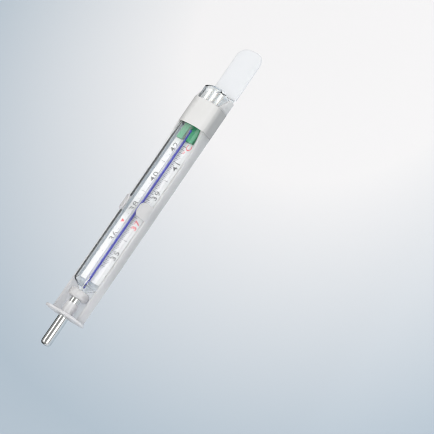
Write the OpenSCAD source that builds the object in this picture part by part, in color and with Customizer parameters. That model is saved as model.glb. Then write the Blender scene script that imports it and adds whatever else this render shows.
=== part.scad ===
// Clinical thermometer seated in its shaking holder, lying on its back with the scale facing up.
// An oval glass tube, drawn in to a neck and a bulb, encloses a capillary, a scale plate and their retainer.
// A moulded trough holds the tube by a neck ring, two clip fingers and a band, and swings on a grip tab.
// Every piece is drawn upright from the bulb tip, with depth along X (back positive), width along Y and
// the axis along Z, and is laid down by one module.

/* [Glass tube] */
// Length from the bulb tip to the top of the dome
tube_len = 134; // [128:1:142]
// Width of the oval tube
tube_w = 13.2; // [12.6:0.1:14]
// Depth of the oval tube
tube_d = 9.2; // [8.8:0.1:9.8]
// Thickness of the tube wall
tube_wall = 0.8; // [0.6:0.05:0.9]
// Height of the domed end
dome_h = 3.7; // [3.2:0.1:4]
// Edge radius of the domed end
dome_edge = 2.2; // [1.8:0.1:2.6]
// Length of the neck, from the bulb to the start of the shoulder
neck_len = 0.6; // [0.4:0.1:2]
// Length of the shoulder, from the round neck to the full oval
shoulder_len = 6.2; // [5:0.1:7]
// Diameter of the neck
neck_d = 4.9; // [4.75:0.05:5.1]

/* [Bulb and capillary] */
// Diameter of the bulb
bulb_d = 4.7; // [4.4:0.05:4.7]
// Length of the bulb, up to its joint with the neck
bulb_len = 26.2; // [24:0.1:28]
// Thickness of the bulb wall
bulb_wall = 0.35; // [0.25:0.05:0.5]
// Edge radius of the bulb tip
bulb_tip_r = 1.7; // [1.2:0.1:2.1]
// Thickness of the glass that closes the top of the bulb
bulb_cap = 2; // [1:0.1:3]
// Diameter of the capillary tube
capillary_d = 1.8; // [1.6:0.05:2.2]
// Room between the capillary and the front of the neck's inside
capillary_gap = 0.05; // [0.03:0.01:0.15]
// Distance from the top of the dome to the end of the capillary
capillary_drop = 22.6; // [20:0.1:26]
// Diameter of the bore that the liquid rises in
bore_d = 0.4; // [0.3:0.02:0.5]
// Diameter of the constriction that keeps the highest reading
constriction_d = 0.2; // [0.14:0.02:0.26]
// Length of the constriction above the bulb
constriction_len = 1; // [0.6:0.1:2]
// Solid glass above the end of the bore
bore_seal = 1; // [0.5:0.1:2]
// Length of the liquid thread when it is shaken down
thread_len = 7; // [4:0.5:12]
// Room left around a liquid in its glass
liquid_gap = 0.03; // [0.02:0.01:0.05]
// Width of the blue stripe behind the bore
stripe_w = 0.72; // [0.5:0.02:0.9]
// Thickness of the blue stripe
stripe_t = 0.25; // [0.15:0.05:0.35]
// Height of the stripe's lower end above the neck
stripe_lift = 2.6; // [1.5:0.1:4]
// Glass between the bore and the stripe
stripe_gap = 0.06; // [0.04:0.01:0.15]

/* [Scale and retainer] */
// Width of the scale plate
plate_w = 10.6; // [9.6:0.1:10.7]
// Thickness of the scale plate
plate_t = 0.4; // [0.2:0.05:0.6]
// Distance of the plate's face behind the middle of the tube
plate_back = 0.9; // [0.6:0.05:1.4]
// Height of the plate's lower edge above the shoulder
plate_lift = 0.2; // [0:0.1:2]
// Distance from the top of the dome to the plate's upper edge
plate_drop = 7; // [5.5:0.1:10]
// Corner radius of the scale plate
plate_corner = 0.8; // [0.4:0.1:1.5]
// Width of the retainer plug
plug_w = 9.2; // [8:0.1:9.6]
// Height of the plug in front of the axis
plug_rise = 1; // [0.8:0.1:1.4]
// Edge radius of the plug's front
plug_edge = 0.7; // [0.4:0.1:0.9]
// Length of the plug below the end of the capillary
plug_skirt = 5.2; // [4:0.1:7]
// Length of the plug above the end of the capillary
plug_head = 6.6; // [4:0.1:8]
// Length of the plug's slot above the end of the capillary
plug_slot_head = 1.5; // [0.5:0.1:3]
// Room between the plug and what it clamps
plug_fit = 0.04; // [0.02:0.01:0.08]
// Room between the retainer pieces and the glass
plug_gap = 0.12; // [0.08:0.02:0.2]
// Height of the bar that joins the prongs of the top spring
spring_base = 2.4; // [1.5:0.1:4]
// Thickness of the top spring
spring_t = 1.6; // [1:0.1:1.7]
// Width of one prong of the top spring
prong_w = 1.5; // [1:0.1:2]
// Distance between the prongs of the top spring
prong_pitch = 3; // [2.4:0.1:3.2]

/* [Trough] */
// Room between the glass and the trough
tube_fit = 0.2; // [0.15:0.05:0.35]
// Thickness of the side walls, clip fingers and flanks
wall = 0.8; // [0.7:0.05:1.1]
// Thickness of the trough's floor
floor_t = 1; // [0.8:0.05:1.4]
// Outer radius of the trough's back corners
corner_r = 1.9; // [1.6:0.1:2.8]
// Height of the side walls in front of the axis
wall_rise = 0.9; // [0.4:0.1:1.6]
// Length over which the side walls sweep up to the band
sweep_len = 20; // [14:0.5:28]
// Height of the flanks under the band, in front of the axis
flank_rise = 2.9; // [2.2:0.1:3.2]
// Depth of the side walls' edges behind the axis at the hinge end
end_drop = 0.2; // [0:0.1:1]
// Corner radius of the side walls at the hinge end
end_corner = 1.6; // [1:0.1:2.4]
// Distance from the bulb tip to the middle of the clip fingers
finger_z = 70; // [60:0.5:80]
// Width of a clip finger
finger_w = 6.9; // [6:0.1:9]
// Corner radius of a clip finger's tip
finger_round = 2.4; // [1.5:0.1:2.9]
// Distance of a finger's tip from the middle plane
finger_tip = 3.4; // [2.6:0.1:4.2]

/* [Flange and neck ring] */
// Length of bulb that stands out of the flange
bulb_reach = 14.7; // [12:0.1:18]
// Width of the flange
flange_w = 20; // [18:0.1:24]
// Depth of the flange before its back is cut level with the trough
flange_d = 13.6; // [12.6:0.1:16]
// Thickness of the flange
flange_t = 1.1; // [0.8:0.1:1.6]
// Edge radius of the flange
flange_edge = 0.4; // [0.2:0.05:0.4]
// Room between the neck and the holes that it passes through
neck_fit = 0.15; // [0.1:0.05:0.3]
// Outer diameter of the neck ring
ring_d = 9; // [7.5:0.1:9.4]
// Height of the neck ring
ring_h = 3.8; // [2.5:0.1:5]
// Edge radius of the neck ring
ring_edge = 0.9; // [0.5:0.1:1.1]
// Room between the neck ring and the shoulder that it stops
ring_seat = 0.2; // [0.1:0.05:0.4]
// Width of the foot that carries the neck ring
ring_foot_w = 5; // [3.5:0.1:6]

/* [Band] */
// Distance from the top of the dome to the band
band_drop = 8.5; // [7:0.1:11]
// Length of the band
band_len = 12.8; // [10:0.1:15]
// Thickness of the band
band_t = 0.4; // [0.3:0.02:0.5]
// Depth of the seat that the band has in the flanks
band_seat = 0.4; // [0.24:0.02:0.44]
// Room between the front of the glass and the band
band_gap = 0.15; // [0.1:0.01:0.25]
// Room between the band and its seat
band_fit = 0.03; // [0.02:0.01:0.06]

/* [Grip tab] */
// Distance from the top of the dome to the hinge line
hinge_drop = 1.5; // [0.5:0.1:2.5]
// Length of the film between trough and tab
film_len = 1.6; // [1.3:0.1:2.4]
// Thickness of the film
film_t = 0.4; // [0.3:0.05:0.5]
// Width of the film
film_w = 12; // [9:0.1:12.6]
// Length of the tab
tab_len = 24; // [18:0.5:32]
// Width of the tab
tab_w = 13.6; // [13:0.1:15]
// Corner radius of the tab's free end
tab_corner = 5; // [2:0.1:6]

/* [Hidden] */
$fn = 96;

// The oval is two round ends of the tube's depth with a flat between them
tube_r = tube_d / 2;
oval_c = (tube_w - tube_d) / 2;
neck_r = neck_d / 2;
bulb_r = bulb_d / 2;
capillary_r = capillary_d / 2;
shoulder_start = bulb_len + neck_len;
shoulder_end = shoulder_start + shoulder_len;
stripe_start = shoulder_start + stripe_lift;
dome_z = tube_len - dome_h;
bulb_cap_z = bulb_len - bulb_cap;
capillary_top = tube_len - capillary_drop;
thread_z = bulb_len + constriction_len;
capillary_x = -(neck_r - tube_wall - capillary_r - capillary_gap);
stripe_x = capillary_x + bore_d / 2 + stripe_gap;
plate_x = plate_back;
plate_z = shoulder_end + plate_lift;
plate_top = tube_len - plate_drop;
plug_z = capillary_top - plug_skirt;
plug_top = capillary_top + plug_head;

// The channel's inside follows the glass with the tube's clearance
in_r = tube_r + tube_fit;
out_r = in_r + wall;
back_in = tube_r + tube_fit;
back = back_in + floor_t;
side = oval_c + out_r;
flange_top = bulb_reach + flange_t;
band_top = tube_len - band_drop;
band_z = band_top - band_len;
sweep_z = band_z - sweep_len;
sweep_rise = flank_rise - wall_rise;
sweep_r = (pow(sweep_len, 2) + pow(sweep_rise, 2)) / (2 * sweep_rise);
hinge_z = tube_len - hinge_drop;
hinge_x = back - floor_t / 2;
trough_top = hinge_z - film_len / 2;
tab_z = hinge_z + film_len / 2;
tab_top = tab_z + tab_len;
hole_r = neck_r + neck_fit;
ring_top = shoulder_start + seat_rise() - ring_seat;
ring_z = ring_top - ring_h;

// Radius of the two arcs of the shoulder's S-curve, from the neck to a half width a
function shoulder_r(a) = (pow(a - neck_r, 2) + pow(shoulder_len, 2)) / (4 * (a - neck_r));

// Radius of the dome's crown, tangent to the edge radius, over a half width a
function crown_r(a) =
    (pow(a - dome_edge, 2) + pow(dome_h, 2) - pow(dome_edge, 2)) / (2 * (dome_h - dome_edge));

// Height above the start of the shoulder where it has grown to the radius of the neck ring's hole
function seat_rise() =
    let (r = shoulder_r(tube_w / 2)) sqrt(pow(r, 2) - pow(neck_r + r - hole_r, 2));

// Lays the upright design on its back, centred along its length, with its back at height zero
module lay() {
    translate([-tab_top / 2, 0, back]) rotate([0, 90, 0]) children();
}

// Extrudes an outline drawn in depth and height across the width
module across(w) {
    rotate([90, 0, 0]) linear_extrude(w, center = true) children();
}

// Extrudes an outline drawn in width and height from one depth to another
module through(x0, x1) {
    translate([x0, 0, 0]) rotate([90, 0, 90]) linear_extrude(x1 - x0) children();
}

// Oval with round ends of radius r, set apart by the distance 2c along Y
module oval(r, c = oval_c) {
    for (s = [-1, 1]) translate([0, s * c]) circle(r);
    square([2 * r, 2 * c], center = true);
}

// Rectangle with its lower edge on the axis and round corners
module soft_bar(w, t, e) {
    translate([-w / 2, e]) square([w, t - 2 * e]);
    translate([e - w / 2, 0]) square([w - 2 * e, t]);
    for (s = [-1, 1], z = [e, t - e]) translate([s * (w / 2 - e), z]) circle(e);
}

// Plate with an oval outline and rounded edges: a bar between two turned ends
module soft_oval(r, c, t, e) {
    for (s = [-1, 1]) translate([0, s * c, 0]) rotate_extrude() intersection() {
        soft_bar(2 * r, t, e);
        square([r, t]);
    }
    across(2 * c) soft_bar(2 * r, t, e);
}

// Right half of the tube's outline over a half width a, inset by d: neck, S-shaped shoulder, side and dome
module tube_outline(a, d) {
    r = shoulder_r(a);
    out_c = [a - r, shoulder_end];
    in_c = [neck_r + r, shoulder_start];
    turn = out_c + (in_c - out_c) * (r - d) / (2 * r);
    crown = crown_r(a);
    crown_z = tube_len - crown;
    translate([0, bulb_len]) square([neck_r - d, shoulder_start - bulb_len]);
    difference() {
        translate([0, shoulder_start]) square([turn[0], turn[1] - shoulder_start]);
        translate(in_c) circle(r + d);
    }
    intersection() {
        translate([0, turn[1]]) square([a, shoulder_end - turn[1]]);
        union() {
            translate(out_c) circle(r - d);
            square([max(out_c[0], turn[0] - 0.01), shoulder_end]);
        }
    }
    translate([0, shoulder_end]) square([a - d, dome_z - shoulder_end]);
    intersection() {
        translate([a - dome_edge, dome_z]) circle(dome_edge - d);
        translate([0, dome_z]) square([a, dome_h]);
    }
    intersection() {
        translate([0, crown_z]) circle(crown - d);
        polygon([[0, dome_z], [a - dome_edge, dome_z],
            [(a - dome_edge) * 3, crown_z + (dome_z - crown_z) * 3], [0, tube_len + dome_h]]);
    }
}

// Solid of the glass tube inset by d: an oval bar, turned to its front outline and cut to its side outline
module tube_form(d) {
    intersection() {
        translate([0, 0, bulb_len]) linear_extrude(tube_len - bulb_len) oval(tube_r - d);
        rotate_extrude() tube_outline(tube_w / 2, d);
        across(tube_w) {
            tube_outline(tube_r, d);
            mirror([1, 0]) tube_outline(tube_r, d);
        }
    }
}

// Round bar with a rounded lower end, for the bulb and what fills it
module bulb_form(r, z0, z1, e) {
    rotate_extrude() {
        translate([0, z0]) square([r - e, z1 - z0]);
        translate([0, z0 + e]) square([r, z1 - z0 - e]);
        intersection() {
            translate([r - e, z0 + e]) circle(e);
            translate([0, z0]) square([r, z1 - z0]);
        }
    }
}

// Outline of the trough: oval in front of the axis, flat sides and back with round corners behind it
module channel(r, depth, corner) {
    s = oval_c + r;
    intersection() {
        oval(r);
        translate([-2 * r, -2 * s]) square([2 * r, 4 * s]);
    }
    translate([0, -s]) square([depth - corner, 2 * s]);
    translate([0, corner - s]) square([depth, 2 * (s - corner)]);
    for (k = [-1, 1]) translate([depth - corner, k * (s - corner)]) circle(corner);
}

// Closed sleeve that the trough's walls, fingers and flanks are cut from
module sleeve() {
    difference() {
        channel(out_r, back, corner_r);
        channel(in_r, back_in, corner_r - wall);
    }
}

// Side view of the trough's walls: a level edge, a sweep up to the flanks and a slope to the hinge
module wall_outline() {
    translate([end_drop + end_corner, trough_top - end_corner]) circle(end_corner);
    translate([end_drop + end_corner, trough_top - 2 * end_corner]) square([back, 2 * end_corner]);
    difference() {
        polygon([
            [-wall_rise, flange_top], [-wall_rise, sweep_z], [-flank_rise, sweep_z], [-flank_rise, band_top],
            [end_drop, trough_top - end_corner], [back + wall, trough_top - end_corner],
            [back + wall, flange_top]
        ]);
        intersection() {
            translate([-wall_rise - sweep_r, sweep_z]) circle(sweep_r, $fn = 360);
            translate([-out_r, sweep_z]) square([2 * out_r, sweep_len]);
        }
    }
}

// Front view of the two clip fingers, tongues with blunt tips and round corners
module finger_outline() {
    flat = finger_w - 2 * finger_round;
    for (k = [0, 1]) mirror([k, 0]) {
        for (s = [-1, 1]) translate([finger_tip + finger_round, finger_z + s * flat / 2]) circle(finger_round);
        translate([finger_tip, finger_z - flat / 2]) square([side, flat]);
        translate([finger_tip + finger_round, finger_z - finger_w / 2]) square([side, finger_w]);
    }
}

// Outline of the band grown by g: oval over the glass, drawn tight to the flanks and round the trough
module band_outline(g) {
    front = tube_r + band_gap + g;
    seat = out_r - band_seat + band_fit + g;
    rise = asin(flank_rise / seat);
    meet = rise + acos(front / seat);
    ridge = oval_c + seat * cos(rise);
    touch = oval_c + front * cos(meet);
    oval(front);
    intersection() {
        channel(seat, back - band_t + g, corner_r - band_t + g);
        translate([-flank_rise, -2 * side]) square([2 * back, 4 * side]);
    }
    polygon([
        [-front * sin(meet), -touch], [-flank_rise, -ridge], [wall, -ridge],
        [wall, ridge], [-flank_rise, ridge], [-front * sin(meet), touch]
    ]);
}

// Trough: floor, side walls, clip fingers and flanks in one thin-walled moulding
module holder_trough() {
    color("gainsboro") lay() difference() {
        union() {
            intersection() {
                translate([0, 0, flange_top]) linear_extrude(trough_top - flange_top) sleeve();
                across(4 * side) wall_outline();
            }
            intersection() {
                translate([0, 0, flange_top]) linear_extrude(trough_top - flange_top) sleeve();
                through(-2 * out_r, wall - wall_rise) finger_outline();
            }
        }
        translate([0, 0, band_z]) linear_extrude(band_len) difference() {
            square(8 * side, center = true);
            channel(out_r - band_seat, back - band_t - band_fit, corner_r - band_t);
        }
    }
}

// Flange: oval end plate of the trough, with a hole for the bulb and its back cut level with the floor
module end_flange() {
    r = flange_d / 2;
    color("gainsboro") lay() intersection() {
        difference() {
            translate([0, 0, bulb_reach]) soft_oval(r, flange_w / 2 - r, flange_t, flange_edge);
            cylinder(2 * flange_top, hole_r, hole_r);
        }
        translate([back - 2 * flange_w, -flange_w, 0]) cube([2 * flange_w, 2 * flange_w, 2 * flange_top]);
    }
}

// Neck ring: soft collar round the neck that stops the shoulder, on a foot that stands on the floor
module neck_ring() {
    r = ring_d / 2;
    color("whitesmoke") lay() difference() {
        union() {
            rotate_extrude() {
                translate([0, ring_z]) square([r - ring_edge, ring_h]);
                translate([0, ring_z + ring_edge]) square([r, ring_h - 2 * ring_edge]);
                for (z = [ring_z + ring_edge, ring_top - ring_edge]) translate([r - ring_edge, z])
                    intersection() {
                        circle(ring_edge);
                        translate([-r + ring_edge, -r]) square(2 * r);
                    }
            }
            translate([hole_r, -ring_foot_w / 2, ring_z + ring_edge])
                cube([back_in - hole_r, ring_foot_w, ring_h - 2 * ring_edge]);
        }
        translate([0, 0, ring_z - 1]) cylinder(ring_h + 2, hole_r, hole_r);
    }
}

// Band: thin white sleeve drawn round the glass and the trough's flanks
module retaining_band() {
    color("white") lay() translate([0, 0, band_z]) linear_extrude(band_len) difference() {
        band_outline(band_t);
        band_outline(0);
    }
}

// Film hinge: thin web of the moulding between trough and tab
module film_hinge() {
    color("whitesmoke") lay() through(hinge_x - film_t / 2, hinge_x + film_t / 2)
        translate([-film_w / 2, trough_top]) square([film_w, film_len]);
}

// Grip tab: flat tongue with a rounded end that is held between finger and thumb
module grip_tab() {
    color("gainsboro") lay() through(back_in, back) {
        translate([-tab_w / 2, tab_z]) square([tab_w, tab_len - tab_corner]);
        translate([tab_corner - tab_w / 2, tab_z]) square([tab_w - 2 * tab_corner, tab_len]);
        for (k = [-1, 1]) translate([k * (tab_w / 2 - tab_corner), tab_top - tab_corner]) circle(tab_corner);
    }
}

// Glass tube: oval sheath with a domed end, drawn in over a shoulder to the neck
module glass_tube() {
    color("lightcyan") lay() difference() {
        tube_form(0);
        tube_form(tube_wall);
        translate([0, 0, bulb_len - 1]) cylinder(2, neck_r - tube_wall, neck_r - tube_wall);
    }
}

// Bulb: thin glass finger, closed at the top round the foot of the capillary
module bulb_glass() {
    color("lightcyan") lay() difference() {
        bulb_form(bulb_r, 0, bulb_len, bulb_tip_r);
        bulb_form(bulb_r - bulb_wall, bulb_wall, bulb_cap_z, bulb_tip_r - bulb_wall);
        translate([capillary_x, 0, bulb_cap_z - bulb_cap]) cylinder(bulb_len, capillary_r, capillary_r);
    }
}

// Liquid metal that fills the bulb
module bulb_liquid() {
    d = bulb_wall + liquid_gap;
    color("silver") lay() bulb_form(bulb_r - d, d, bulb_cap_z - liquid_gap, bulb_tip_r - d);
}

// Capillary: thick glass tube with a fine bore, a constriction at its foot and a bed for the stripe
module capillary_tube() {
    bore_len = capillary_top - bore_seal - thread_z;
    color("azure") lay() difference() {
        translate([capillary_x, 0, 0]) difference() {
            translate([0, 0, bulb_cap_z]) cylinder(capillary_top - bulb_cap_z, capillary_r, capillary_r);
            translate([0, 0, bulb_cap_z - 1]) cylinder(bulb_len, constriction_d / 2, constriction_d / 2);
            translate([0, 0, thread_z]) cylinder(bore_len, bore_d / 2, bore_d / 2);
        }
        translate([stripe_x, -stripe_w / 2, stripe_start]) cube([stripe_t, stripe_w, tube_len]);
    }
}

// Blue stripe: strip of enamel fused into the capillary behind its bore
module blue_stripe() {
    color("mediumblue") lay() translate([stripe_x, -stripe_w / 2, stripe_start])
        cube([stripe_t, stripe_w, capillary_top - stripe_start]);
}

// Scale plate: white strip that carries the printed scale behind the capillary
module scale_plate() {
    w = plate_w / 2 - plate_corner;
    h = plate_top - plate_z - plate_corner;
    color("white") lay() through(plate_x, plate_x + plate_t) {
        translate([-w, plate_z]) square([2 * w, h + plate_corner]);
        translate([-plate_w / 2, plate_z + plate_corner]) square([plate_w, h - plate_corner]);
        for (y = [-w, w], z = [plate_z + plate_corner, plate_z + h]) translate([y, z]) circle(plate_corner);
    }
}

// Retainer plug: green block that clamps the capillary's end to the plate, slotted to keep it in view
module retainer_plug() {
    slot_r = capillary_r + plug_fit;
    slot_len = plug_skirt + plug_slot_head + 1;
    color("mediumseagreen") lay() difference() {
        translate([0, 0, plug_z]) linear_extrude(plug_top - plug_z) {
            translate([plug_edge - plug_rise, -plug_w / 2])
                square([plug_rise + plate_x - plug_fit - plug_edge, plug_w]);
            translate([-plug_rise, plug_edge - plug_w / 2]) square([plug_rise, plug_w - 2 * plug_edge]);
            for (k = [-1, 1]) translate([plug_edge - plug_rise, k * (plug_w / 2 - plug_edge)])
                circle(plug_edge);
        }
        translate([capillary_x, 0, plug_z - 1]) cylinder(slot_len, slot_r, slot_r);
        translate([capillary_x - tube_r, -slot_r, plug_z - 1]) cube([tube_r, 2 * slot_r, slot_len]);
    }
}

// Top spring: pronged plastic comb between the plug and the dome that keeps the scale from moving
module top_spring() {
    inset = tube_wall + plug_gap;
    crown = crown_r(tube_r) - inset;
    sag = crown - sqrt(pow(crown, 2) - pow(plug_rise, 2));
    color("ivory") lay() through(-plug_rise, spring_t - plug_rise) intersection() {
        union() {
            translate([-prong_pitch - prong_w / 2, plug_top])
                square([2 * prong_pitch + prong_w, spring_base]);
            for (k = [-1, 0, 1]) translate([k * prong_pitch - prong_w / 2, plug_top])
                square([prong_w, tube_len - plug_top]);
        }
        translate([0, -sag]) for (k = [0, 1]) mirror([k, 0]) tube_outline(tube_w / 2, inset);
    }
}

// Liquid thread: what stands in the bore above the constriction when it is shaken down
module liquid_thread() {
    r = bore_d / 2 - liquid_gap;
    color("silver") lay() translate([capillary_x, 0, thread_z + liquid_gap]) cylinder(thread_len, r, r);
}

holder_trough();
end_flange();
neck_ring();
retaining_band();
film_hinge();
grip_tab();
glass_tube();
bulb_glass();
bulb_liquid();
capillary_tube();
blue_stripe();
scale_plate();
retainer_plug();
top_spring();
liquid_thread();
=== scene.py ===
"""Clinical thermometer with an enclosed scale, seated in its translucent shaking holder."""
import math

import bmesh
import bpy
from mathutils import Matrix, Vector


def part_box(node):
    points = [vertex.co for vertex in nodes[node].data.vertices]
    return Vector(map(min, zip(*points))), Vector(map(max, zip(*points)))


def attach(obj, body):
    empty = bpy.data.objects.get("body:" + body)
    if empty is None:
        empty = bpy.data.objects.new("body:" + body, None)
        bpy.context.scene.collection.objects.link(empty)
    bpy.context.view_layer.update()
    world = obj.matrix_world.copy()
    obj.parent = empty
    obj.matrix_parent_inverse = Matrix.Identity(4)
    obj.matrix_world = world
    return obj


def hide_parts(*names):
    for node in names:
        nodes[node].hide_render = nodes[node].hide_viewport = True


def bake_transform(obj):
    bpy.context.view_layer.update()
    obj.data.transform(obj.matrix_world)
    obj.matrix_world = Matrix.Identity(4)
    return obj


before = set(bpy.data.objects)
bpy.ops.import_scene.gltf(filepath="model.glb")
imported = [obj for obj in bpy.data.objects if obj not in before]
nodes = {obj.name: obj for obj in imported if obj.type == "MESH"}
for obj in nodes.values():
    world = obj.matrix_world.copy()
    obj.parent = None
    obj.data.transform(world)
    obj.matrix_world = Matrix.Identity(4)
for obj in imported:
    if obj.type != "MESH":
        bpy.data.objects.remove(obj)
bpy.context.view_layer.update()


# Bulb
# A thin finger of clear glass, blown and closed at its tip, filled to the top with bright liquid metal.
# The metal wets the glass, so the whole bulb reads as one polished mirror behind a clear skin.
class Wire:
    """A shader socket that takes part in Python sums. Every node comes from the method node."""

    def __init__(self, tree, socket):
        self.tree = tree
        self.socket = socket

    @classmethod
    def node(cls, tree, kind, settings=None, sockets=None, output=0):
        made = tree.nodes.new("ShaderNode" + kind)
        for name, value in (settings or {}).items():
            setattr(made, name, value)
        for name, value in (sockets or {}).items():
            if isinstance(value, Wire):
                tree.links.new(value.socket, made.inputs[name])
            else:
                made.inputs[name].default_value = value
        return cls(tree, made.outputs[output] if len(made.outputs) else None)

    def math(self, operation, first, second):
        return Wire.node(self.tree, "Math", {"operation": operation}, {0: first, 1: second})

    def __add__(self, other):
        return self.math("ADD", self, other)

    def __sub__(self, other):
        return self.math("SUBTRACT", self, other)

    def __rsub__(self, other):
        return self.math("SUBTRACT", other, self)

    def __mul__(self, other):
        return self.math("MULTIPLY", self, other)

    __radd__ = __add__
    __rmul__ = __mul__


def open_finish(name):
    """A new material, its empty tree and the object coordinates of the piece that wears it."""
    material = bpy.data.materials.new(name)
    material.use_nodes = True
    tree = material.node_tree
    tree.nodes.clear()
    return material, tree, Wire.node(tree, "TexCoord", output="Object")


def close_finish(tree, sockets):
    shader = Wire.node(tree, "BsdfPrincipled", {}, sockets)
    Wire.node(tree, "OutputMaterial", {}, {"Surface": shader})


def grain(tree, place, scale, stretch=(1, 1, 1), detail=2.0):
    """Noise of a given fineness per metre, drawn out along the axes by the inverse of stretch."""
    drawn = Wire.node(tree, "Mapping", {}, {"Vector": place, "Scale": stretch})
    return Wire.node(tree, "TexNoise", {}, {"Vector": drawn, "Scale": scale, "Detail": detail})


def two_tone(tree, share, first, second):
    """Colour that goes from first to second as share goes from 0 to 1. A Mix node's sockets share their
    names, so they are taken by number: 0 is the factor, 6 and 7 are the colours, and 2 is what comes out."""
    return Wire.node(tree, "Mix", {"data_type": "RGBA"}, {0: share, 6: first, 7: second}, output=2)


def relief(tree, height, depth, strength=1.0):
    """Normal of a surface with that height, of the given depth in metres."""
    return Wire.node(tree, "Bump", {}, {"Strength": strength, "Distance": depth, "Height": height})


def wear(piece, material):
    piece.data.materials.clear()
    piece.data.materials.append(material)


def liquid_metal():
    material, tree, place = open_finish("liquid_metal")
    film = grain(tree, place, scale=900, stretch=(0.2, 1, 1))
    close_finish(tree, {
        "Base Color": two_tone(tree, film, (0.80, 0.80, 0.79, 1), (0.88, 0.88, 0.87, 1)),
        "Metallic": 1.0,
        "Roughness": 0.03 + film * 0.05,
    })
    return material


def drawn_glass(name, tint):
    material, tree, place = open_finish(name)
    draw = grain(tree, place, scale=500, stretch=(0.04, 1, 1), detail=1.0)
    close_finish(tree, {
        "Base Color": two_tone(tree, draw, tint, (1, 1, 1, 1)),
        "Roughness": draw * 0.02,
        "Transmission Weight": 1.0,
        "IOR": 1.48,
        "Normal": relief(tree, draw, depth=0.00002, strength=0.25),
    })
    return material


def set_down(name, form, smooth=False):
    """Puts a finished form into the scene as a piece with its place in its mesh."""
    mesh = bpy.data.meshes.new(name)
    form.to_mesh(mesh)
    form.free()
    if smooth:
        mesh.shade_smooth()
    piece = bpy.data.objects.new(name, mesh)
    bpy.context.scene.collection.objects.link(piece)
    return piece


def turned(name, profile, y, z, sides):
    """Closed form turned about a line along X. Its places (x, radius) run from the axis to the axis, or else
    once round the wall of a sleeve."""
    form = bmesh.new()
    solid = profile[0][1] == 0
    rings = []
    for x, radius in profile[1:-1] if solid else profile:
        turn = [2 * math.pi * k / sides for k in range(sides)]
        rings.append([form.verts.new((x, y + radius * math.cos(t), z + radius * math.sin(t))) for t in turn])
    for low, high in zip(rings, rings[1:] if solid else rings[1:] + rings[:1]):
        for k in range(sides):
            form.faces.new((low[k], low[k - 1], high[k - 1], high[k]))
    if solid:
        first = form.verts.new((profile[0][0], y, z))
        last = form.verts.new((profile[-1][0], y, z))
        for k in range(sides):
            form.faces.new((first, rings[0][k - 1], rings[0][k]))
            form.faces.new((last, rings[-1][k], rings[-1][k - 1]))
    bmesh.ops.recalc_face_normals(form, faces=form.faces)
    return set_down(name, form, smooth=True)


def quarter_turn(steps):
    """Angles of a quarter turn in even steps."""
    return [math.pi / 2 * i / steps for i in range(steps + 1)]


def rounded_bar(x_low, x_high, radius, low_round, high_round, rows):
    """Profile of a bar whose two ends are flat in the middle and rounded at the rim."""
    rim = [(1 - math.cos(t), 1 - math.sin(t)) for t in quarter_turn(12)]
    start = [(x_low + low_round * inward, radius - low_round * down) for inward, down in rim]
    stop = [(x_high - high_round * inward, radius - high_round * down) for inward, down in rim]
    span = x_high - high_round - x_low - low_round
    plain = [(x_low + low_round + span * i / rows, radius) for i in range(1, rows)]
    return [(x_low, 0)] + start + plain + stop[::-1] + [(x_high, 0)]


WETTING = 0.00005
TIP_ROUND = 0.00137
CAP_ROUND = 0.0002
wear(nodes["bulb_glass"], drawn_glass("clear_glass", (0.93, 0.97, 0.98, 1)))
bright_metal = liquid_metal()
low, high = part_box("bulb_liquid")
middle = (low + high) / 2
radius = (high.z - low.z) / 2 + WETTING
filling = rounded_bar(low.x - WETTING, high.x + WETTING, radius, TIP_ROUND, CAP_ROUND, rows=40)
metal = turned("bulb_metal", filling, middle.y, middle.z, sides=96)
wear(metal, bright_metal)
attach(metal, "thermometer")
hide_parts("bulb_liquid")


# Capillary, stripe and thread
# A thick-walled glass rod with a hair-fine bore. A stripe of blue enamel is fused in behind the bore, so
# that the bright thread in front of it can be read. The thread grows out of the bulb as it warms.
def blue_enamel():
    material, tree, place = open_finish("blue_enamel")
    streak = grain(tree, place, scale=1500, stretch=(0.05, 1, 1))
    close_finish(tree, {
        "Base Color": two_tone(tree, streak, (0.05, 0.06, 0.74, 1), (0.09, 0.10, 0.86, 1)),
        "Roughness": 0.25 + streak * 0.15,
    })
    return material


FUSED = 0.00008
STRIPE_ROUND = 0.6
wear(nodes["capillary_tube"], drawn_glass("rod_glass", (0.97, 0.98, 1.0, 1)))
low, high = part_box("blue_stripe")
middle = (low + high) / 2
half = (high - low) / 2 + Vector((1, 1, 1)) * FUSED
form = bmesh.new()
bmesh.ops.create_cube(form, size=2)
bmesh.ops.transform(form, matrix=Matrix.Translation(middle) @ Matrix.Diagonal((*half, 1)), verts=form.verts)
bmesh.ops.bevel(
    form, geom=form.edges[:], offset=half.z * STRIPE_ROUND, segments=4, profile=0.5, affect="EDGES")
stripe = set_down("fused_stripe", form, smooth=True)
wear(stripe, blue_enamel())
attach(stripe, "thermometer")
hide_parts("blue_stripe")

low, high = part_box("liquid_thread")
middle = (low + high) / 2
radius = (high.z - low.z) / 2 + WETTING
column = rounded_bar(low.x, high.x, radius, radius, radius, rows=160)
thread = turned("risen_thread", column, middle.y, middle.z, sides=24)
wear(thread, bright_metal)
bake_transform(thread)
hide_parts("liquid_thread")


# Scale plate
# A strip of white sheet behind the capillary. The scale is printed on it in thin grey lines and figures,
# one tick for each tenth of a degree, the even ones heavier. The limit of fever, its pointer and the unit
# are printed in red.
PLATE_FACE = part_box("scale_plate")[1].z
INK = 0.00002
INK_MIDDLE = PLATE_FACE + INK / 4
DEGREE = 0.0078
MARK_35 = -0.0308
LEFT = 0.0029
LEFT_DROP = 0.0005
RIGHT = -0.00355


def mark(degrees):
    """Place along the plate of a temperature."""
    return MARK_35 + (degrees - 35) * DEGREE


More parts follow.
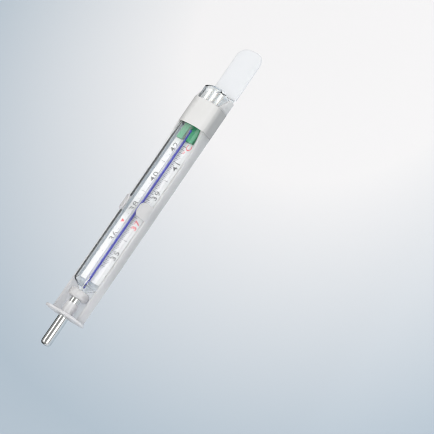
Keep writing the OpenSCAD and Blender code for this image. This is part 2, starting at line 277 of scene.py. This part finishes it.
def white_sheet():
    material, tree, place = open_finish("white_sheet")
    fleck = grain(tree, place, scale=2500)
    close_finish(tree, {
        "Base Color": two_tone(tree, fleck, (0.695, 0.695, 0.705, 1), (0.755, 0.755, 0.755, 1)),
        "Roughness": 0.45 + fleck * 0.1,
    })
    return material


def ink(name, thick, thin):
    material, tree, place = open_finish(name)
    cover = grain(tree, place, scale=4000, detail=4.0)
    close_finish(tree, {
        "Base Color": two_tone(tree, cover, thick, thin),
        "Roughness": 0.4 + cover * 0.2,
    })
    return material


grey_ink = ink("grey_ink", (0.03, 0.03, 0.035, 1), (0.08, 0.08, 0.085, 1))
pale_ink = ink("pale_ink", (0.09, 0.09, 0.095, 1), (0.16, 0.16, 0.165, 1))
red_ink = ink("red_ink", (0.72, 0.02, 0.05, 1), (0.85, 0.10, 0.12, 1))
wear(nodes["scale_plate"], white_sheet())

# Each row of marks: first place along X and across Y, step, count, size along X and across Y
ROWS = {
    "even tenth": (mark(34.2), -0.00120, DEGREE / 5, 41, 0.00027, 0.00190),
    "odd tenth": (mark(34.1), -0.00115, DEGREE / 5, 41, 0.00009, 0.00170),
    "half": (mark(34.5), -0.00245, DEGREE, 8, 0.00018, 0.00080),
    "even": (mark(36), -0.00335, 2 * DEGREE, 3, 0.00020, 0.00190),
    "odd": (mark(39) - LEFT_DROP, 0.00345, 2 * DEGREE, 2, 0.00018, 0.00180),
    "left half": (mark(35.5) - LEFT_DROP, 0.00300, DEGREE, 7, 0.00030, 0.00030),
    "left 35": (mark(35) - LEFT_DROP, 0.00330, DEGREE, 1, 0.00034, 0.00034),
}


def ruled_marks(name, rows, material):
    """Geometry Nodes ruling: every row sets out bars of ink along the plate at an even step."""
    tree = bpy.data.node_groups.new(name, "GeometryNodeTree")
    tree.interface.new_socket("Geometry", in_out="OUTPUT", socket_type="NodeSocketGeometry")
    settings = {}
    for row, (x, y, step, count, along, across) in rows.items():
        for label, kind, value in (
            ("start", "NodeSocketVector", (x, y, INK_MIDDLE)),
            ("step", "NodeSocketVector", (step, 0, 0)),
            ("count", "NodeSocketInt", count),
            ("bar", "NodeSocketVector", (along, across, INK)),
        ):
            socket = tree.interface.new_socket(row + " " + label, in_out="INPUT", socket_type=kind)
            settings[socket.identifier] = value
    given = tree.nodes.new("NodeGroupInput")
    joined = tree.nodes.new("GeometryNodeJoinGeometry")
    for row in rows:
        line = tree.nodes.new("GeometryNodeMeshLine")
        bar = tree.nodes.new("GeometryNodeMeshCube")
        placed = tree.nodes.new("GeometryNodeInstanceOnPoints")
        tree.links.new(given.outputs[row + " count"], line.inputs["Count"])
        tree.links.new(given.outputs[row + " start"], line.inputs["Start Location"])
        tree.links.new(given.outputs[row + " step"], line.inputs["Offset"])
        tree.links.new(given.outputs[row + " bar"], bar.inputs["Size"])
        tree.links.new(line.outputs["Mesh"], placed.inputs["Points"])
        tree.links.new(bar.outputs["Mesh"], placed.inputs["Instance"])
        tree.links.new(placed.outputs["Instances"], joined.inputs["Geometry"])
    real = tree.nodes.new("GeometryNodeRealizeInstances")
    inked = tree.nodes.new("GeometryNodeSetMaterial")
    inked.inputs["Material"].default_value = material
    out = tree.nodes.new("NodeGroupOutput")
    tree.links.new(joined.outputs["Geometry"], real.inputs["Geometry"])
    tree.links.new(real.outputs["Geometry"], inked.inputs["Geometry"])
    tree.links.new(inked.outputs["Geometry"], out.inputs["Geometry"])
    piece = bpy.data.objects.new(name, bpy.data.meshes.new(name + "_seed"))
    bpy.context.scene.collection.objects.link(piece)
    ruling = piece.modifiers.new("ruling", "NODES")
    ruling.node_group = tree
    for identifier, value in settings.items():
        ruling[identifier] = value
    return piece


def made_mesh(piece):
    """Turns what a piece's modifiers or curves give into its plain mesh."""
    bpy.context.view_layer.update()
    graph = bpy.context.evaluated_depsgraph_get()
    return bpy.data.meshes.new_from_object(piece.evaluated_get(graph), depsgraph=graph)


marks = ruled_marks("scale_marks", ROWS, grey_ink)
ruled = made_mesh(marks)
marks.modifiers.clear()
marks.data = ruled
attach(marks, "thermometer")

FIGURE_HEIGHT = 0.0036
FIGURE_SPACE = 1.15
FIGURE_STRETCH = 1.22
INK_SPREAD = 0.00001


def figures(name, words, material):
    """Printed figures, each centred on its place, as one flat mesh of ink."""
    form = bmesh.new()
    for text, x, y in words:
        curve = bpy.data.curves.new(name + text, "FONT")
        curve.body = text
        curve.align_x = "CENTER"
        curve.align_y = "CENTER"
        curve.size = FIGURE_HEIGHT
        curve.space_character = FIGURE_SPACE
        curve.extrude = INK / 2
        curve.offset = INK_SPREAD
        curve.resolution_u = 4
        holder = bpy.data.objects.new(name + text, curve)
        bpy.context.scene.collection.objects.link(holder)
        mesh = made_mesh(holder)
        mesh.transform(Matrix.Translation((x, y, INK_MIDDLE)) @ Matrix.Diagonal((FIGURE_STRETCH, 1, 1, 1)))
        form.from_mesh(mesh)
        bpy.data.objects.remove(holder)
        bpy.data.meshes.remove(mesh)
    piece = set_down(name, form)
    wear(piece, material)
    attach(piece, "thermometer")


figures("scale_figures", [
    (str(t), mark(t), RIGHT) for t in (35, 39, 41)
] + [
    (str(t), mark(t) - LEFT_DROP, LEFT) for t in (36, 38, 40, 42)
], pale_ink)
figures("red_figures", [("37", mark(37), RIGHT), ("°C", mark(42.1), RIGHT)], red_ink)

POINTER_HALF = 0.0009
POINTER_BASE = 0.0042
POINTER_TIP = 0.0025
form = bmesh.new()
fever = mark(37) - LEFT_DROP
corners = (
    (fever - POINTER_HALF, POINTER_BASE),
    (fever + POINTER_HALF, POINTER_BASE),
    (fever, POINTER_TIP),
)
under = [form.verts.new((x, y, INK_MIDDLE - INK / 2)) for x, y in corners]
upper = [form.verts.new((x, y, INK_MIDDLE + INK / 2)) for x, y in corners]
form.faces.new(under)
form.faces.new(upper)
for k in range(3):
    form.faces.new((under[k - 1], under[k], upper[k], upper[k - 1]))
bmesh.ops.recalc_face_normals(form, faces=form.faces)
pointer = set_down("fever_pointer", form)
wear(pointer, red_ink)
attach(pointer, "thermometer")


# Plug and top spring
# A soft green block is pressed over the capillary's end and clamps it to the plate. A pronged white comb
# stands between it and the dome, and keeps the whole scale from moving in the tube.
def green_plastic():
    material, tree, place = open_finish("green_plastic")
    flow = grain(tree, place, scale=350, stretch=(0.3, 1, 1))
    close_finish(tree, {
        "Base Color": two_tone(tree, flow, (0.005, 0.22, 0.09, 1), (0.022, 0.32, 0.145, 1)),
        "Roughness": 0.3 + flow * 0.12,
        "Subsurface Weight": 0.3,
        "Subsurface Radius": (0.4, 1.0, 0.6),
        "Subsurface Scale": 0.0008,
    })
    return material


def white_plastic():
    material, tree, place = open_finish("white_plastic")
    flow = grain(tree, place, scale=300)
    close_finish(tree, {
        "Base Color": two_tone(tree, flow, (0.79, 0.79, 0.77, 1), (0.85, 0.85, 0.83, 1)),
        "Roughness": 0.35 + flow * 0.1,
        "Subsurface Weight": 0.3,
        "Subsurface Radius": (1.0, 0.9, 0.8),
        "Subsurface Scale": 0.0006,
    })
    return material


SAME_PLACE = 1e-7
ON_PLANE = 1e-6
FLAT_ANGLE = math.radians(0.1)
SHARP_ANGLE = math.radians(35)


def soft_edged(name, node, body, radius, material, plain=None):
    """A piece with the shape of a node and its edges rounded. Edges at the place plain along X stay sharp."""
    form = bmesh.new()
    form.from_mesh(nodes[node].data)
    bmesh.ops.remove_doubles(form, verts=form.verts, dist=SAME_PLACE)
    bmesh.ops.dissolve_limit(form, angle_limit=FLAT_ANGLE, verts=form.verts, edges=form.edges)
    sharp = [edge for edge in form.edges if edge.calc_face_angle() > SHARP_ANGLE]
    if plain is not None:
        sharp = [edge for edge in sharp if max(abs(vert.co.x - plain) for vert in edge.verts) > ON_PLANE]
    bmesh.ops.bevel(form, geom=sharp, offset=radius, segments=3, profile=0.5, affect="EDGES")
    piece = set_down(name, form, smooth=True)
    wear(piece, material)
    piece.modifiers.new("even_shading", "WEIGHTED_NORMAL")
    shaded = made_mesh(piece)
    piece.modifiers.clear()
    piece.data = shaded
    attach(piece, body)
    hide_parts(node)


soft_edged(
    "clamping_plug", "retainer_plug", "thermometer", radius=0.0002, material=green_plastic())
soft_edged(
    "pronged_comb", "top_spring", "thermometer", radius=0.0002, material=white_plastic())


# Glass tube
# An oval tube of clear glass, drawn in to a round neck over an S-shaped shoulder and melted on to the bulb.
# Its upper end is closed by a dome. It is fire-polished, with the faint long ripples of drawing. The lamps
# shine through clear glass on to the scale, so it casts no shadow.
wear(nodes["glass_tube"], drawn_glass("tube_glass", (0.95, 0.98, 0.985, 1)))
nodes["glass_tube"].visible_shadow = False


# Trough, flange and neck ring
# One moulding of natural polypropylene: a thin-walled trough with clip fingers, an oval flange that guards
# the bulb and a soft collar for the neck. It is milky and lets light through, with a satin skin. A thin,
# partly clear sleeve stands on the flange round the bulb.
MILKY_THICK = (0.885, 0.87, 0.87, 1)
MILKY_THIN = (0.925, 0.912, 0.91, 1)
# Painted light: the moulding takes on a paler, cooler cast towards the flange.
COOL_LIGHT_CAST = (0.905, 0.905, 0.965, 1)
COOL_START = -0.036
COOL_FADE = 70
# Painted shade: a darker blue-grey inside the channel where the glass lies, for the light lost under the
# glass.
SEAT_SHADE = (0.44, 0.495, 0.575, 1)
SEAT_HALF = 0.0072
SEAT_FLOOR = 0.0009
SEAT_RIM = 0.0066
SEAT_START = -0.050
SEAT_END = 0.040
SEAT_CLEAR = 0.003
SEAT_FADE = 200


def milky_plastic(name, thick, thin, seat_shade=None, cover=1.0):
    """Milky finish in two tones. The inside of the channel, where the glass lies, gets a painted shade in the
    colour given for the seat, for the light lost under the glass, and the channel takes on a painted cooler,
    paler cast of light towards the flange. A thin wall is partly clear, with a cover below 1."""
    material, tree, place = open_finish(name)
    flow = grain(tree, place, scale=120, stretch=(0.35, 1, 1), detail=3.0)
    skin = grain(tree, place, scale=6000, detail=1.0)
    tone = two_tone(tree, flow, thick, thin)
    if seat_shade is not None:
        along, across, height = (
            Wire.node(tree, "SeparateXYZ", {}, {"Vector": place}, output=axis) for axis in "XYZ")
        # Painted light: towards the flange the tone shifts to a paler, cooler cast of the light there.
        tone = two_tone(tree, (COOL_START - along) * COOL_FADE, tone, COOL_LIGHT_CAST)
        # Painted shade: the inside of the channel, between floor and rim, fading out at its ends and towards
        # one side.
        inside = across.math("LESS_THAN", across * across, SEAT_HALF ** 2)
        inside = inside * height.math("GREATER_THAN", height, SEAT_FLOOR)
        inside = inside * height.math("LESS_THAN", height, SEAT_RIM)
        fade = along.math("MINIMUM", (along - SEAT_START) * SEAT_FADE, (SEAT_END - along) * SEAT_FADE)
        fade = fade.math("MINIMUM", fade, (across + SEAT_CLEAR) * SEAT_FADE)
        tone = two_tone(tree, inside * fade.math("MINIMUM", fade, 1.0), tone, seat_shade)
    close_finish(tree, {
        "Base Color": tone,
        "Roughness": 0.34 + flow * 0.12,
        "Alpha": cover,
        "Subsurface Weight": 1.0,
        "Subsurface Radius": (1.0, 1.0, 1.0),
        "Subsurface Scale": 0.006,
        "IOR": 1.49,
        "Normal": relief(tree, skin, depth=0.000004, strength=0.5),
    })
    return material


milky = milky_plastic("milky_plastic", MILKY_THICK, MILKY_THIN)
# Painted shade: the flange wears a darker, bluer copy of the moulding's finish, for the dimmer light at that
# end.
wear(nodes["end_flange"], milky_plastic(
    "flange_plastic", (0.735, 0.735, 0.78, 1), (0.775, 0.775, 0.815, 1), cover=0.9))
wear(nodes["neck_ring"], milky_plastic(
    "collar_plastic", (0.88, 0.88, 0.925, 1), (0.92, 0.92, 0.955, 1), cover=0.75))
trough_finish = milky_plastic("trough_plastic", MILKY_THICK, MILKY_THIN, seat_shade=SEAT_SHADE)
soft_edged(
    "milky_trough", "holder_trough", "holder", radius=0.00015, material=trough_finish,
    plain=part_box("holder_trough")[0].x)


def thin_moulding():
    material, tree, place = open_finish("thin_moulding")
    flow = grain(tree, place, scale=700, stretch=(0.15, 1, 1))
    close_finish(tree, {
        "Base Color": two_tone(tree, flow, (0.93, 0.93, 0.95, 1), (0.98, 0.98, 0.99, 1)),
        "Roughness": 0.16 + flow * 0.1,
        "Alpha": 0.35 + flow * 0.3,
    })
    return material


SLEEVE_GAP = 0.0001
SLEEVE_WALL = 0.00035
SLEEVE_LENGTH = 0.0055
FILLET = 0.0004
low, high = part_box("bulb_glass")
middle = (low + high) / 2
inner = (high.z - low.z) / 2 + SLEEVE_GAP
outer = inner + SLEEVE_WALL
core = (inner + outer) / 2
round_lip = (outer - inner) / 2
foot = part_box("end_flange")[1].x
lip = foot + SLEEVE_LENGTH
bend = quarter_turn(6)
wall = [
    (lip - round_lip * (1 - math.sin(t)), core - round_lip * math.cos(t)) for t in bend
] + [
    (lip - round_lip * (1 - math.cos(t)), core + round_lip * math.sin(t)) for t in bend[1:]
] + [
    (foot + FILLET * (1 - math.sin(t)), outer + FILLET * (1 - math.cos(t))) for t in bend
] + [(foot, inner)]
sleeve = turned("neck_sleeve", wall, middle.y, middle.z, sides=96)
wear(sleeve, thin_moulding())
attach(sleeve, "holder")


# Band
# A thin white sleeve, shrunk over the glass and the trough's flanks. It keeps the tube in its seat.
# Its sides below the crown darken to grey: a painted shade of the sides that turn away from the light.
SHADED_SIDE_HEIGHT = 0.0098
SHADED_SIDE_FADE = 300


def band_film():
    material, tree, place = open_finish("band_film")
    haze = grain(tree, place, scale=160)
    crease = grain(tree, place, scale=260, stretch=(1.4, 0.5, 0.5), detail=3.0)
    height = Wire.node(tree, "SeparateXYZ", {}, {"Vector": place}, output="Z")
    # Painted shade: below the given height the band's sides fade to a darker grey.
    shaded_side = (SHADED_SIDE_HEIGHT - height) * SHADED_SIDE_FADE
    drawn = two_tone(tree, haze, (0.735, 0.735, 0.73, 1), (0.785, 0.785, 0.78, 1))
    close_finish(tree, {
        "Base Color": two_tone(tree, shaded_side, drawn, (0.48, 0.48, 0.475, 1)),
        "Roughness": 0.42 + haze * 0.12,
        "Subsurface Weight": 0.2,
        "Subsurface Radius": (1.0, 1.0, 1.0),
        "Subsurface Scale": 0.0004,
        "Normal": relief(tree, crease, depth=0.00006, strength=0.3),
    })
    return material


soft_edged("shrunk_band", "retaining_band", "holder", radius=0.00012, material=band_film())


# Film hinge and grip tab
# The moulding thins to a film behind the dome and goes on as a flat tongue, the grip of the whole holder.
# The film bends when the body is swung, so it is drawn in rows.
def film_strip(name, corner, other, rows):
    """Flat strip from one corner to the other, cut into rows along X."""
    form = bmesh.new()
    loops = []
    for i in range(rows + 1):
        x = corner.x + (other.x - corner.x) * i / rows
        rim = ((corner.y, corner.z), (other.y, corner.z), (other.y, other.z), (corner.y, other.z))
        loops.append([form.verts.new((x, y, z)) for y, z in rim])
    for first, second in zip(loops, loops[1:]):
        for k in range(4):
            form.faces.new((first[k - 1], first[k], second[k], second[k - 1]))
    form.faces.new(loops[0])
    form.faces.new(loops[-1])
    bmesh.ops.recalc_face_normals(form, faces=form.faces)
    return set_down(name, form)


# Painted shade: the tongue wears a slightly darker, bluer copy of the moulding's finish, to temper the light
# on its broad upper face.
tongue_finish = milky_plastic("tongue_plastic", (0.84, 0.84, 0.865, 1), (0.88, 0.88, 0.90, 1))
soft_edged("held_tongue", "grip_tab", "tab", radius=0.00035, material=tongue_finish)
low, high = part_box("film_hinge")
film = film_strip("bending_film", low, high, rows=24)
wear(film, milky)
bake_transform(film)
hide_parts("film_hinge")


# Floor, light and camera
# A plain pale floor well below the part, with a painted pool of light to one side that falls off to blue-grey
# and then grey, under three long soft panels and a weak sky. A dark card beside the tube, seen only in glass
# and gloss, gives the clear glass its dark edge.
FLOOR = -0.25
FLOOR_HALF = 5
LIGHT_POOL_CENTRE = (0.187, 0.133, FLOOR)
NEAR_START = 0.536
NEAR_FADE = 5.7
FAR_START = 0.4
FAR_FADE = 1.6


def pale_floor():
    material, tree, place = open_finish("pale_floor")
    # Painted light: the floor is brightest round a spot to one side and darker further out.
    away = Wire.node(
        tree, "VectorMath", {"operation": "DISTANCE"}, {0: place, 1: LIGHT_POOL_CENTRE}, output="Value")
    near = away * NEAR_FADE - NEAR_START
    far = away * FAR_FADE - FAR_START
    middle = two_tone(tree, near, (0.96, 0.96, 0.975, 1), (0.467, 0.564, 0.656, 1))
    close_finish(tree, {
        "Base Color": two_tone(tree, far, middle, (0.72, 0.75, 0.79, 1)),
        "Roughness": 0.7,
        "Specular IOR Level": 0.2,
    })
    return material


form = bmesh.new()
level = Matrix.Translation((0, 0, FLOOR))
bmesh.ops.create_grid(form, x_segments=1, y_segments=1, size=FLOOR_HALF, matrix=level)
floor = set_down("floor", form)
wear(floor, pale_floor())

PANEL_DISTANCE = 1.5
PANEL_LENGTH = 4.0


def soft_panel(name, tilt, width, power, in_gloss):
    """Long soft light along X, tilted from overhead towards -Y: seen in gloss and glass, or on matt faces."""
    lamp = bpy.data.lights.new(name, "AREA")
    lamp.shape = "RECTANGLE"
    lamp.size = PANEL_LENGTH
    lamp.size_y = width
    lamp.energy = power
    panel = bpy.data.objects.new(name, lamp)
    panel.visible_camera = False
    panel.visible_diffuse = not in_gloss
    panel.visible_glossy = in_gloss
    panel.visible_transmission = in_gloss
    overhead = Matrix.Translation((0, 0, PANEL_DISTANCE))
    panel.matrix_world = Matrix.Rotation(math.radians(tilt), 4, "X") @ overhead
    bpy.context.scene.collection.objects.link(panel)


soft_panel("key_panel", tilt=-33, width=0.64, power=15.6, in_gloss=True)
soft_panel("fill_panel", tilt=57, width=1.15, power=19.8, in_gloss=True)
soft_panel("top_panel", tilt=24, width=1.2, power=25, in_gloss=False)

CARD_ASIDE = 0.08
CARD_ENDS = (-0.5, 0.072)
CARD_EDGES = (-0.085, -0.002)
form = bmesh.new()
outline = [(CARD_ENDS[i], CARD_EDGES[k]) for i, k in ((0, 0), (1, 0), (1, 1), (0, 1))]
form.faces.new([form.verts.new((x, CARD_ASIDE, z)) for x, z in outline])
card = set_down("dark_card", form)
card.visible_camera = False
card.visible_diffuse = False
card.visible_shadow = False
wear(card, ink("card_black", (0.01, 0.01, 0.01, 1), (0.02, 0.02, 0.02, 1)))

SKY_SEEN = 0.95
SKY_IN_GLOSS = 0.10
SKY_IN_GLASS = 0.25
SKY_ON_MATT = 0.50
world = bpy.data.worlds.new("studio")
bpy.context.scene.world = world
world.use_nodes = True
tree = world.node_tree
tree.nodes.clear()
direct = Wire.node(tree, "LightPath", output="Is Camera Ray")
through = Wire.node(tree, "LightPath", output="Is Transmission Ray")
scattered = Wire.node(tree, "LightPath", output="Diffuse Depth")
scattered = scattered.math("GREATER_THAN", scattered, 0.5)
unseen = SKY_IN_GLOSS + through * SKY_IN_GLASS + scattered * SKY_ON_MATT
sky = Wire.node(tree, "Background", {}, {
    "Color": two_tone(tree, direct, (0.93, 0.92, 0.905, 1), (0.82, 0.87, 0.93, 1)),
    "Strength": direct * SKY_SEEN + (1 - direct) * unseen,
})
Wire.node(tree, "OutputWorld", {}, {"Surface": sky})
bpy.context.scene.cycles.max_bounces = 32
bpy.context.scene.cycles.transmission_bounces = 24
bpy.context.scene.cycles.glossy_bounces = 12
bpy.context.scene.cycles.filter_width = 1.0
bpy.context.scene.view_settings.view_transform = "Standard"

PICTURE_PX = 434
FOCUS_PX = 1943.44
TARGET = Vector((0, 0, 0.006))
TARGET_PX = (148.55, 192.81)
DISTANCE = 0.8311
azimuth, elevation, roll = (math.radians(v) for v in (-16.06, 53.39, 42.5))
back = Vector((
    math.sin(azimuth) * math.cos(elevation), -math.cos(azimuth) * math.cos(elevation), math.sin(elevation)))
side = Vector((math.cos(azimuth), math.sin(azimuth), 0))
rise = back.cross(side)
right = side * math.cos(roll) - rise * math.sin(roll)
up = side * math.sin(roll) + rise * math.cos(roll)
aside, below = (PICTURE_PX / 2 - place for place in TARGET_PX)
ahead = (right * aside - up * below) / FOCUS_PX - back
ahead.normalize()
right = ahead.cross(up).normalized()
up = right.cross(ahead)
lens = bpy.data.cameras.new("camera")
lens.lens = FOCUS_PX * lens.sensor_width / PICTURE_PX
camera = bpy.data.objects.new("camera", lens)
facing = Matrix((right, up, -ahead)).transposed().to_4x4()
camera.matrix_world = Matrix.Translation(TARGET + back * DISTANCE) @ facing
bpy.context.scene.collection.objects.link(camera)
bpy.context.scene.camera = camera
